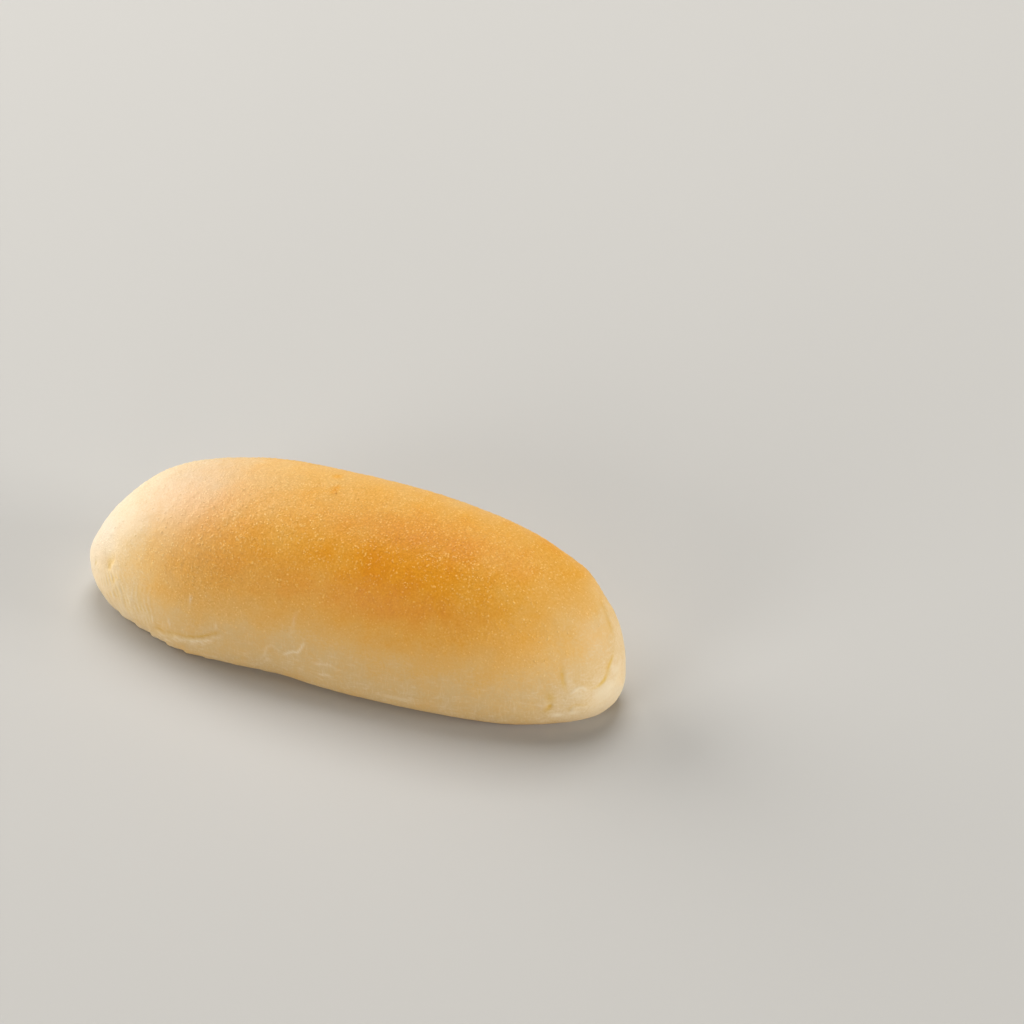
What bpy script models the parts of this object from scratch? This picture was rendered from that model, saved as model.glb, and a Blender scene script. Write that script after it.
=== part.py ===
"""A hot dog bun: one plain soft roll with a thin golden crust, whole and uncut.

The bun lies along X and rests on its flat baked base at Z = 0. Its section is a
squarish dome above a low shoulder, where it is widest; below the shoulder the
sides draw in towards the base. The tip at -X is the broad, pale one, and the tip
at +X ends in a tuck, where the dough was folded over before it was baked.

The crust is worked out on a grid. A point of it has a station, from -1 at one tip
to +1 at the other, and a section angle: 0 at the back shoulder (+Y), 90 degrees at
the crown, 180 degrees at the front shoulder (-Y), and a little past both down to
the base. Swells, folds and waves are then raised or sunk along the crust's normal.

The origin is the middle of the base of the bun's bounding box. Units are metres.
"""

import math

import bmesh
import bpy
import numpy as np

MM = 0.001

# ---------------------------------------------------------------- driving dimensions
LENGTH = 155.0 * MM
WIDTH = 55.1 * MM
HEIGHT = 43.9 * MM

SHOULDER_HEIGHT = 8.2 * MM   # height of the widest line above the base
TUCK_DEPTH = 23.9 * MM       # depth of the ellipse that draws the sides in below it
BASE_EDGE_RADIUS = 2.2 * MM  # round where the side turns under into the flat base

SECTION_SQUARENESS = 2.41    # superellipse power of the dome; 2 would be a plain ellipse
PLAN_FULLNESS = (2.72, 2.53)     # how blunt the outline is, seen from above, at -X and +X
PROFILE_FULLNESS = (2.68, 3.70)  # the same for the profile, seen from the side
WIDTH_TAPER = 0.058          # share by which the -X half is wider and the +X half narrower
BEND = 2.75 * MM             # how far both tips swing towards -Y
LEAN = 2.25 * MM             # how far the crown leans towards +Y

# ---------------------------------------------------------------- relief of the crust
# Each swell: where its middle is (mm along X, section angle), its height and its reach
# in mm. A negative height is a dent.
SWELLS = (
    (-70.4, 79.0, -0.75, 8.0),   # flat above the broad tip
    (-75.0, 104.0, -0.75, 6.0),  # the same, down to the nose
    (-76.0, 156.0, 0.55, 6.0),   # nose of the broad tip
    (-64.8, 161.0, -0.90, 2.6),  # dimple pressed into the broad tip
    (-57.0, 64.0, 0.35, 9.0),    # back of the crown, from end to end
    (-13.0, 57.0, -0.40, 12.0),
    (28.0, 57.0, -0.25, 16.0),
    (62.0, 54.0, 0.75, 5.5),     # knob on the rim above the tuck
    (72.5, 47.0, -0.35, 6.0),
    (-40.0, 199.0, 1.30, 10.0),  # front of the base, from end to end
    (-11.0, 198.0, -0.75, 9.0),
    (52.0, 203.0, 0.45, 9.0),
    (70.5, 178.0, 0.55, 4.5),    # plump lower lip of the tuck
)

# Each fold: a path of points (mm along X, section angle), the depth and half width of
# its groove, and its lip: height, half width, and how far it lies from the groove
# (mm along X, degrees round the section).
FOLDS = {
    "end_tuck": {
        "path": ((70.0, 84.0), (72.2, 89.0), (73.6, 94.0), (74.9, 108.0), (75.0, 135.0),
                 (74.2, 160.0), (72.2, 169.0), (69.5, 169.0), (67.0, 173.0)),
        "groove": (0.90, 1.40), "lip": (0.55, 1.7), "lip_shift": (1.5, 8.0),
    },
    "end_tuck_branch": {
        "path": ((65.0, 158.0), (65.4, 168.0), (63.4, 175.0), (61.4, 184.0)),
        "groove": (0.50, 1.30), "lip": (0.30, 1.5), "lip_shift": (2.2, 3.0),
    },
    "front_fold": {
        "path": ((-48.5, 181.0), (-45.5, 186.0), (-41.5, 184.5), (-37.5, 184.0),
                 (-33.0, 180.0), (-28.5, 177.0)),
        "groove": (0.60, 1.40), "lip": (0.55, 1.6), "lip_shift": (0.0, 7.0),
    },
    "front_crinkle": {
        "path": ((-14.3, 180.0), (-13.2, 177.0), (-8.1, 178.0), (-4.8, 175.0), (-2.9, 172.0)),
        "groove": (0.25, 1.40), "lip": (0.30, 1.2), "lip_shift": (0.0, -4.0),
    },
    "back_fold": {
        "path": ((18.0, 3.0), (25.0, -2.0), (33.0, -4.0), (41.0, -1.0), (46.0, 4.0)),
        "groove": (0.60, 1.60), "lip": (0.50, 1.8), "lip_shift": (0.0, -7.0),
    },
    "back_tip_fold": {
        "path": ((-73.0, 34.0), (-71.5, 20.0), (-68.5, 10.0), (-64.5, 5.0)),
        "groove": (0.55, 2.30), "lip": (0.35, 2.3), "lip_shift": (-1.5, -7.0),
    },
}
PATH_STEPS = 24              # samples between two points of a fold's path

# Each scalloped stretch of the lower edge: where it starts and ends (mm along X), the
# pitch and depth of its scallops in mm, and whether it is on the front (-Y) side.
SCALLOPS = (
    (-68.0, -30.0, 6.0, 0.55, True),
    (-26.0, -6.0, 9.0, 0.30, True),
    (20.0, 60.0, 7.5, 0.40, False),
)
SCALLOP_HEIGHT = 5.0 * MM    # the scallops fade out this far above the base

# Broad uneven waves from proofing: waves across the crust in seeded directions.
WAVE_COUNT = 7
WAVE_LENGTHS = (22.0 * MM, 48.0 * MM)
WAVE_HEIGHT = 0.06 * MM
WAVE_SEED = 5

# ---------------------------------------------------------------- grid of the crust
RING_COUNT = 104             # steps from tip to tip
BACK_TUCK_STEPS = 4          # steps from the base up to the back shoulder
BACK_DOME_STEPS = 18         # steps from the back shoulder to the finer front part
FRONT_DOME_STEPS = 23        # steps from there to the front shoulder
FRONT_TUCK_STEPS = 6         # steps from the front shoulder down to the base
FINE_FROM = math.radians(98.0)   # the front part, with the folds, has closer columns
COLUMN_SPREAD = 1.2          # keeps columns evenly spaced near the shoulders

CRUST_COLOUR = (0.74, 0.42, 0.15, 1.0)
CRUST_ROUGHNESS = 0.55


def halves(station, left_value, right_value):
    """The value for the half of the bun that each station is on."""
    return np.where(station < 0.0, left_value, right_value)


def plan_scale(station):
    """Share of the full width at a station: a superellipse seen from above."""
    power = halves(station, *PLAN_FULLNESS)
    return np.sqrt(np.clip(1.0 - np.abs(station) ** power, 0.0, 1.0))


def profile_scale(station):
    """Share of the full dome height at a station: a superellipse seen from the side."""
    power = halves(station, *PROFILE_FULLNESS)
    return np.sqrt(np.clip(1.0 - np.abs(station) ** power, 0.0, 1.0))


def crust_point(station, angle):
    """Points of the smooth crust, without its relief, as an array (..., 3)."""
    station, angle = np.broadcast_arrays(station, angle)
    across, up = np.cos(angle), np.sin(angle)
    power = 2.0 / SECTION_SQUARENESS
    plan, profile = plan_scale(station), profile_scale(station)
    dome = up >= 0.0
    dome_rise = np.where(dome, np.abs(up) ** power, 0.0)
    side = np.where(dome, np.sign(across) * np.abs(across) ** power, across)
    y = WIDTH / 2 * plan * (1.0 - WIDTH_TAPER * station) * side
    y = y + LEAN * dome_rise * profile + BEND * (0.4 - station ** 2)
    z_dome = SHOULDER_HEIGHT + (HEIGHT - SHOULDER_HEIGHT) * profile * dome_rise
    z_tuck = SHOULDER_HEIGHT - TUCK_DEPTH * plan * np.abs(up)
    return np.stack([station * LENGTH / 2, y, np.where(dome, z_dome, z_tuck)], axis=-1)


def tuck_angle(station):
    """How far below the shoulder the side runs: to the base, or near the tips, where
    the crust doesn't reach the base, to its lowest line at 90 degrees."""
    depth = TUCK_DEPTH * plan_scale(station)
    reach = SHOULDER_HEIGHT / np.maximum(depth, SHOULDER_HEIGHT)
    return np.arcsin(reach)


def base_end(power):
    """Station at which the flat base ends, for one end's plan fullness."""
    return (1.0 - (SHOULDER_HEIGHT / TUCK_DEPTH) ** 2) ** (1.0 / power)


def ring_stations():
    """Stations of the rings, close together at the tips, one on each end of the base.
    Also the index of the first and the last ring that reach the base."""
    stations = np.sin(np.linspace(-math.pi / 2, math.pi / 2, RING_COUNT + 1))
    ends = (-base_end(PLAN_FULLNESS[0]), base_end(PLAN_FULLNESS[1]))
    first, last = (int(np.abs(stations - end).argmin()) for end in ends)
    stations[first], stations[last] = ends
    return stations, first, last


def column_angles(stations):
    """Section angles (rings, columns), from the base at the back to the base in front."""
    tuck = tuck_angle(stations)[:, None]
    back_tuck = -tuck * np.linspace(1.0, 0.0, BACK_TUCK_STEPS, endpoint=False)
    back_share = np.linspace(0.0, 1.0, BACK_DOME_STEPS, endpoint=False) ** COLUMN_SPREAD
    front_share = np.linspace(1.0, 0.0, FRONT_DOME_STEPS, endpoint=False) ** COLUMN_SPREAD
    back_dome = FINE_FROM * back_share
    front_dome = math.pi - (math.pi - FINE_FROM) * front_share
    dome = np.broadcast_to(np.concatenate([back_dome, front_dome]),
                           (len(stations), BACK_DOME_STEPS + FRONT_DOME_STEPS))
    front_tuck = math.pi + tuck * np.linspace(0.0, 1.0, FRONT_TUCK_STEPS + 1)
    return np.concatenate([back_tuck, dome, front_tuck], axis=1)


def grid_normals(points):
    """Outward unit normals of a grid of points (rings, columns, 3)."""
    along = np.gradient(points, axis=0)
    around = np.gradient(points, axis=1)
    normals = np.cross(around, along)
    length = np.linalg.norm(normals, axis=-1, keepdims=True)
    return normals / np.maximum(length, 1e-12)


def smooth_path(path):
    """Points on the crust along a fold: its path, evenly sampled."""
    corners = np.array(path)
    samples = np.linspace(0.0, len(corners) - 1.0, (len(corners) - 1) * PATH_STEPS + 1)
    x = np.interp(samples, np.arange(len(corners)), corners[:, 0]) * MM
    angle = np.interp(samples, np.arange(len(corners)), corners[:, 1])
    return crust_point(x / (LENGTH / 2), np.radians(angle))


def ridge(points, path, height, half_width):
    """A round ridge along a path, or a groove where the height is negative."""
    line = smooth_path(path)
    gaps = np.linalg.norm(points[..., None, :] - line, axis=-1).min(axis=-1)
    return height * MM * np.exp(-(gaps / (half_width * MM)) ** 2)


def fold_relief(points):
    """Every fold's groove and the lip beside it."""
    relief = np.zeros(points.shape[:-1])
    for fold in FOLDS.values():
        depth, half_width = fold["groove"]
        relief += ridge(points, fold["path"], -depth, half_width)
        shift_x, shift_angle = fold["lip_shift"]
        lip = [(x + shift_x, angle + shift_angle) for x, angle in fold["path"]]
        relief += ridge(points, lip, *fold["lip"])
    return relief


def swell_relief(points):
    """Every swell and dent: a bell round its middle."""
    relief = np.zeros(points.shape[:-1])
    for x, angle, height, reach in SWELLS:
        middle = crust_point(x * MM / (LENGTH / 2), math.radians(angle))
        gaps = np.linalg.norm(points - middle, axis=-1)
        relief += height * MM * np.exp(-(gaps / (reach * MM)) ** 2)
    return relief


def wave_relief(points):
    """The broad waves: a sum of sines, each along its own direction."""
    draw = np.random.RandomState(WAVE_SEED)
    relief = np.zeros(points.shape[:-1])
    for _ in range(WAVE_COUNT):
        direction = draw.normal(size=3)
        direction /= np.linalg.norm(direction)
        length = draw.uniform(*WAVE_LENGTHS)
        phase = draw.uniform(0.0, 2.0 * math.pi)
        relief += WAVE_HEIGHT * np.sin(points @ direction * 2.0 * math.pi / length + phase)
    return relief


def scallop_relief(points):
    """The scalloped stretches of the lower edge, fading out above it."""
    x, y, z = np.moveaxis(points, -1, 0)
    fade = np.clip(1.0 - z / SCALLOP_HEIGHT, 0.0, 1.0)
    relief = np.zeros(points.shape[:-1])
    for start, end, pitch, depth, front in SCALLOPS:
        share = np.clip((x / MM - start) / (end - start), 0.0, 1.0)
        window = np.sin(math.pi * share)
        notch = np.abs(np.sin(math.pi * (x / MM - start) / pitch)) - 0.6
        on_side = (y < 0.0) == front
        relief += depth * MM * window * notch * fade * on_side
    return relief


def crust_grid():
    """The finished crust as a grid of points, and the first and last ring on the base."""
    stations, first, last = ring_stations()
    points = crust_point(stations[:, None], column_angles(stations))
    normals = grid_normals(points)
    relief = (swell_relief(points) + fold_relief(points)
              + wave_relief(points) + scallop_relief(points))

    # Level normals turn the relief and the round of the base edge outwards, so that
    # neither moves the crust through the base.
    level = normals * (1.0, 1.0, 0.0)
    level /= np.maximum(np.linalg.norm(level, axis=-1, keepdims=True), 1e-12)
    height = points[..., 2:3]
    near_base = np.clip(1.0 - height / (2.0 * BASE_EDGE_RADIUS), 0.0, 1.0)
    direction = normals * (1.0 - near_base) + level * near_base
    below = np.clip(BASE_EDGE_RADIUS - height, 0.0, BASE_EDGE_RADIUS)
    inset = BASE_EDGE_RADIUS - np.sqrt(BASE_EDGE_RADIUS ** 2 - below ** 2)
    shaped = points + direction * relief[..., None] - level * inset
    shaped[0], shaped[-1] = points[0, 0], points[-1, 0]
    shaped[..., 2] = np.maximum(shaped[..., 2], 0.0)

    # Where the two sides meet under the tips, both take their mean.
    for ring in (*range(1, first + 1), *range(last, len(stations) - 1)):
        shaped[ring, 0] = shaped[ring, -1] = (shaped[ring, 0] + shaped[ring, -1]) / 2
    shaped[first:last + 1, (0, -1), 2] = 0.0

    low, high = shaped.min(axis=(0, 1)), shaped.max(axis=(0, 1))
    shaped[..., :2] -= (low[:2] + high[:2]) / 2
    return shaped, first, last


def add_crust(mesh):
    """Skin the grid with faces that point outwards, and close the base with one face."""
    points, first, last = crust_grid()
    rings, columns = points.shape[:2]
    body = bmesh.new()
    skin = []
    for ring in range(rings):
        if ring in (0, rings - 1):
            skin.append([body.verts.new(points[ring, 0])] * columns)
            continue
        row = [body.verts.new(point) for point in points[ring, :-1]]
        closed = ring <= first or ring >= last
        row.append(row[0] if closed else body.verts.new(points[ring, -1]))
        skin.append(row)

    for row, next_row in zip(skin, skin[1:]):
        for column in range(columns - 1):
            corners = (row[column], row[column + 1], next_row[column + 1], next_row[column])
            body.faces.new(dict.fromkeys(corners))

    back_edge = [skin[ring][0] for ring in range(first, last + 1)]
    front_edge = [skin[ring][-1] for ring in range(last - 1, first, -1)]
    body.faces.new(back_edge + front_edge)
    body.to_mesh(mesh)
    body.free()
    mesh.shade_smooth()


def crust_material():
    """Thin soft crust, golden brown and barely shiny."""
    material = bpy.data.materials.new("golden_crust")
    material.use_nodes = True
    shader = material.node_tree.nodes["Principled BSDF"]
    shader.inputs["Base Color"].default_value = CRUST_COLOUR
    shader.inputs["Roughness"].default_value = CRUST_ROUGHNESS
    shader.inputs["Metallic"].default_value = 0.0
    return material


def main():
    """Clear the scene and build the bun."""
    for old in list(bpy.data.objects):
        bpy.data.objects.remove(old, do_unlink=True)
    mesh = bpy.data.meshes.new("bun")
    add_crust(mesh)
    mesh.materials.append(crust_material())
    bpy.context.scene.collection.objects.link(bpy.data.objects.new("bun", mesh))


main()
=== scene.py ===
"""Looks of a hot dog bun: one plain soft roll, whole and uncut, on a plain pale floor.

The crust is one skin, worked out on a grid round the bun and closed under its base. A
point of the grid has a station, from -1 at the broad tip (-X) to +1 at the tucked tip
(+X), and a section angle: 0 at the back shoulder (+Y), 90 degrees at the crown and 180
degrees at the front shoulder (-Y). The folds, swells and lower edge are those of the
solid, with the finer relief of a baked crust on top of them.
"""

import logging
import math
from dataclasses import dataclass, field, replace
from enum import Enum
from functools import partial
from typing import Any

import bpy
import numpy as np
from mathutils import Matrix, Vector


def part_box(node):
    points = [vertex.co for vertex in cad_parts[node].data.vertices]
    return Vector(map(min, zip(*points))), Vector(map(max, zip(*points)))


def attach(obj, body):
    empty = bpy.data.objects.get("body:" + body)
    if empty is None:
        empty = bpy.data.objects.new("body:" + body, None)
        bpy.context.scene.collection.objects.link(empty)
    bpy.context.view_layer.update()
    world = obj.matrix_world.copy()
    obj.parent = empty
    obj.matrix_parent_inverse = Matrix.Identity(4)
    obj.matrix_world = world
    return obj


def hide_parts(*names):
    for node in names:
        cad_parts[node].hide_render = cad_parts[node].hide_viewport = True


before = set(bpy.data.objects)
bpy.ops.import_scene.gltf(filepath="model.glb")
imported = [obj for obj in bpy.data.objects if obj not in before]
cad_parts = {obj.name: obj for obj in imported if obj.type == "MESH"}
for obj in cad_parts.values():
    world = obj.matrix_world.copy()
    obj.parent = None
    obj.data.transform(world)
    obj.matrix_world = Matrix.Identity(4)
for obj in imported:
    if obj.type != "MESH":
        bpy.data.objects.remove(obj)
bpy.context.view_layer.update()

Array = np.ndarray
Pair = tuple[float, float]
Triple = tuple[float, float, float]

MM = 0.001
LOG = logging.getLogger("bun")


# ---- small helpers ----
def linear_colour(code: str) -> tuple[float, float, float, float]:
    """Turn an sRGB hex colour into the linear colour that a shader takes.

    Args:
        code: six hex digits, with or without a leading #.

    Returns:
        Red, green, blue and an alpha of 1.
    """
    channels = [int(code.lstrip("#")[i:i + 2], 16) / 255 for i in (0, 2, 4)]
    linear = [c / 12.92 if c <= 0.04045 else ((c + 0.055) / 1.055) ** 2.4 for c in channels]
    return (*linear, 1.0)


def per_metre(size_mm: float) -> float:
    """Scale of a pattern whose features are size_mm across."""
    return 1.0 / (size_mm * MM)


def smoothstep(value: Array, low: float, high: float) -> Array:
    """Rise smoothly from 0 at low to 1 at high, in either order: 3 t^2 - 2 t^3."""
    t = np.clip((value - low) / (high - low), 0.0, 1.0)
    return t * t * (3.0 - 2.0 * t)


def bell(gap: Array, reach: float) -> Array:
    """A bell of height 1: exp(-(gap / reach)^2)."""
    return np.exp(-(gap / reach) ** 2)


def unit(vectors: Array) -> Array:
    """Vectors scaled to length 1."""
    length = np.linalg.norm(vectors, axis=-1, keepdims=True)
    return vectors / np.maximum(length, 1e-12)


@dataclass(frozen=True)
class Ripples:
    """Smooth noise: a sum of sines, each along its own seeded direction.

    Each sine has the given height, so the sum's usual size is the height times the root
    of count / 2. The waves' lengths, shortest and longest, are in mm.
    """

    height: float
    waves_mm: Pair
    count: int
    seed: int

    def at(self, points: Array) -> Array:
        """Sum of the sines at places in metres (..., 3)."""
        draw = np.random.RandomState(self.seed)
        total = np.zeros(points.shape[:-1])
        for _ in range(self.count):
            direction = draw.normal(size=3)
            direction /= np.linalg.norm(direction)
            length = draw.uniform(*self.waves_mm) * MM
            phase = draw.uniform(0.0, 2.0 * math.pi)
            total += np.sin(points @ direction * 2.0 * math.pi / length + phase)
        return self.height * total


def add_node(tree: bpy.types.NodeTree, kind: str, inputs: dict[int | str, Any] | None = None,
             stops: tuple[tuple[float, str], ...] = (), **settings: Any) -> bpy.types.Node:
    """Add one shader node with its settings and links.

    Args:
        tree: the node tree that gets it.
        kind: the node's type name in Blender.
        inputs: for each input, by name or number, a value, the output it is linked to, or
            a node whose first output it is linked to.
        stops: for a colour ramp, its places and sRGB hex colours.
        settings: the node's own properties.

    Returns:
        The new node.
    """
    node = tree.nodes.new(kind)
    for name, value in settings.items():
        setattr(node, name, value)
    for key, value in (inputs or {}).items():
        if isinstance(value, bpy.types.Node):
            value = value.outputs[0]
        if isinstance(value, bpy.types.NodeSocket):
            tree.links.new(value, node.inputs[key])
        else:
            node.inputs[key].default_value = value
    for index, (place, colour) in enumerate(stops):
        elements = node.color_ramp.elements
        element = elements[index] if index < 2 else elements.new(place)
        element.position = place
        element.color = linear_colour(colour)
    return node


# Sockets of Blender's Mix node when it mixes colours.
MIX_FACTOR, MIX_A, MIX_B, MIX_RESULT = 0, 6, 7, 2


def add_mesh(name: str, points: Array, triangles: Array,
             fields: dict[str, Array]) -> bpy.types.Object:
    """Make a smooth object from whole arrays.

    Args:
        name: the piece's name.
        points: vertices in metres (count, 3), in the bun's own frame.
        triangles: vertex numbers (count, 3), counter-clockwise seen from outside.
        fields: point attributes, by name.

    Returns:
        The object, linked to the scene.
    """
    mesh = bpy.data.meshes.new(name)
    mesh.vertices.add(len(points))
    mesh.vertices.foreach_set("co", points.astype(np.float32).ravel())
    mesh.loops.add(triangles.size)
    mesh.loops.foreach_set("vertex_index", triangles.astype(np.int32).ravel())
    mesh.polygons.add(len(triangles))
    mesh.polygons.foreach_set("loop_start", np.arange(0, triangles.size, 3, dtype=np.int32))
    mesh.update(calc_edges=True)
    mesh.validate()
    mesh.shade_smooth()
    for field_name, values in fields.items():
        attribute = mesh.attributes.new(field_name, "FLOAT", "POINT")
        attribute.data.foreach_set("value", values.astype(np.float32).ravel())
    piece = bpy.data.objects.new(name, mesh)
    bpy.context.scene.collection.objects.link(piece)
    return piece


def hang(name: str, data: bpy.types.ID, angles_deg: Pair, distance: float,
         target: Triple = (0.0, 0.0, 0.0)) -> bpy.types.Object:
    """Hang a light or a camera round a target and turn it to that.

    Args:
        name: the object's name.
        data: the light or camera.
        angles_deg: azimuth, 0 in front (-Y) and turning towards +X, and elevation.
        distance: how far away it hangs, in metres.
        target: where it looks.

    Returns:
        The object, linked to the scene.
    """
    azimuth, elevation = (math.radians(angle) for angle in angles_deg)
    away = Vector((math.sin(azimuth) * math.cos(elevation),
                   -math.cos(azimuth) * math.cos(elevation), math.sin(elevation)))
    piece = bpy.data.objects.new(name, data)
    piece.location = Vector(target) + away * distance
    piece.rotation_euler = away.to_track_quat("Z", "Y").to_euler()
    bpy.context.scene.collection.objects.link(piece)
    return piece


# ---- form of the bun ----
# Fields of the crust by name, one value for each point: "relief", in metres, and what the
# material reads: how brown, how much painted light and shade lighten or darken that, how
# much painted sheen whitens it, how gold as a fold's floor, how pale as taut skin, how pale
# as a blister's top, how pebbled the skin is, and how much it took the tray's brown.
SkinFields = dict[str, Array]
COLOUR_FIELDS = ("browning", "painted_light_shade", "painted_sheen", "crease", "pale", "blister", "pebble", "base")


class Side(Enum):
    """Which long side of the bun a feature is on, as the sign of Y there."""

    FRONT = -1
    BACK = 1


class Stroke(Enum):
    """What a line on the crust is."""

    TUCK = "a fold with a deep golden groove and a pale raised lip"
    CRINKLE = "a thin raised wrinkle of pale skin"


@dataclass(frozen=True)
class Form:
    """The smooth shape of the bun: a squarish dome on a low shoulder, drawn in below it.

    All sizes are in metres. Pairs hold the value for the -X half and the +X half.
    """

    length: float = 155.0 * MM
    width: float = 55.1 * MM
    height: float = 43.9 * MM
    shoulder: float = 8.2 * MM
    tuck_depth: float = 23.9 * MM
    base_edge: float = 2.2 * MM
    squareness: float = 2.41
    plan_fullness: Pair = (2.72, 2.53)
    profile_fullness: Pair = (2.68, 3.70)
    width_taper: float = 0.058
    bend: float = 2.75 * MM
    straight: float = 0.4  # the square of the station that the bend leaves
    lean: float = 2.25 * MM

    def scale(self, station: Array, fullness: Pair) -> Array:
        """Share of the full section at a station: sqrt(1 - |station|^fullness)."""
        power = np.where(station < 0.0, *fullness)
        return np.sqrt(np.clip(1.0 - np.abs(station) ** power, 0.0, 1.0))

    def point(self, station: Array, angle: Array) -> Array:
        """Points of the smooth crust.

        Above the shoulder the section is a superellipse: across |cos|^(2/n), up
        |sin|^(2/n). Below it the side is an ellipse that the base cuts off. The plan
        and profile scales shrink each section towards the tips.

        Args:
            station: -1 to 1 along the bun.
            angle: section angle in radians.

        Returns:
            Points in metres (..., 3), before the bun is centred.
        """
        station, angle = np.broadcast_arrays(station, angle)
        across, up = np.cos(angle), np.sin(angle)
        power = 2.0 / self.squareness
        plan = self.scale(station, self.plan_fullness)
        profile = self.scale(station, self.profile_fullness)
        dome = up >= 0.0
        rise = np.where(dome, np.abs(up) ** power, 0.0)
        side = np.where(dome, np.sign(across) * np.abs(across) ** power, across)
        y = self.width / 2 * plan * (1.0 - self.width_taper * station) * side
        y = y + self.lean * rise * profile + self.bend * (self.straight - station ** 2)
        z_dome = self.shoulder + (self.height - self.shoulder) * profile * rise
        z_tuck = self.shoulder - self.tuck_depth * plan * np.abs(up)
        return np.stack([station * self.length / 2, y, np.where(dome, z_dome, z_tuck)], axis=-1)

    def at(self, x_mm: Array, angle_deg: Array) -> Array:
        """Points of the smooth crust by millimetres along X and degrees round."""
        return self.point(np.asarray(x_mm) * MM / (self.length / 2), np.radians(angle_deg))

    def tuck_angle(self, station: Array) -> Array:
        """How far below the shoulder a side runs: arcsin(shoulder / depth), at most 90
        degrees, where the two sides meet under a tip."""
        depth = self.tuck_depth * self.scale(station, self.plan_fullness)
        return np.arcsin(self.shoulder / np.maximum(depth, self.shoulder))

    def base_ends(self) -> Pair:
        """Stations at which the flat base ends, at each tip."""
        share = 1.0 - (self.shoulder / self.tuck_depth) ** 2
        return tuple(sign * share ** (1.0 / power)
                     for sign, power in zip((-1, 1), self.plan_fullness))


@dataclass(frozen=True)
class Swell:
    """A round swell of the crust, or a dent where its height is negative."""

    x_mm: float
    angle_deg: float
    height_mm: float
    reach_mm: float

    def relief(self, form: Form, points: Array) -> Array:
        """Height of the swell at each point: a bell round its middle."""
        gap = np.linalg.norm(points - form.at(self.x_mm, self.angle_deg), axis=-1)
        return self.height_mm * MM * bell(gap, self.reach_mm * MM)


@dataclass(frozen=True)
class Scallops:
    """A scalloped stretch of the lower edge."""

    start_mm: float
    end_mm: float
    pitch_mm: float
    depth_mm: float
    side: Side
    step_share: float = 0.22
    fade_height: float = 5.0 * MM

    def relief(self, points: Array) -> Array:
        """Scallops that step out over step_share of each pitch and then draw back in
        evenly, weaker towards both ends of the stretch, fading out above the edge."""
        x, y, z = np.moveaxis(points, -1, 0)
        share = np.clip((x / MM - self.start_mm) / (self.end_mm - self.start_mm), 0.0, 1.0)
        turn = (x / MM - self.start_mm) / self.pitch_mm % 1.0
        notch = smoothstep(turn, 0.0, self.step_share) - turn - (1.0 - self.step_share) / 2.0
        fade = np.clip(1.0 - z / self.fade_height, 0.0, 1.0)
        on_side = y * self.side.value > 0.0
        return self.depth_mm * MM * np.sqrt(np.sin(math.pi * share)) * notch * fade * on_side


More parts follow.
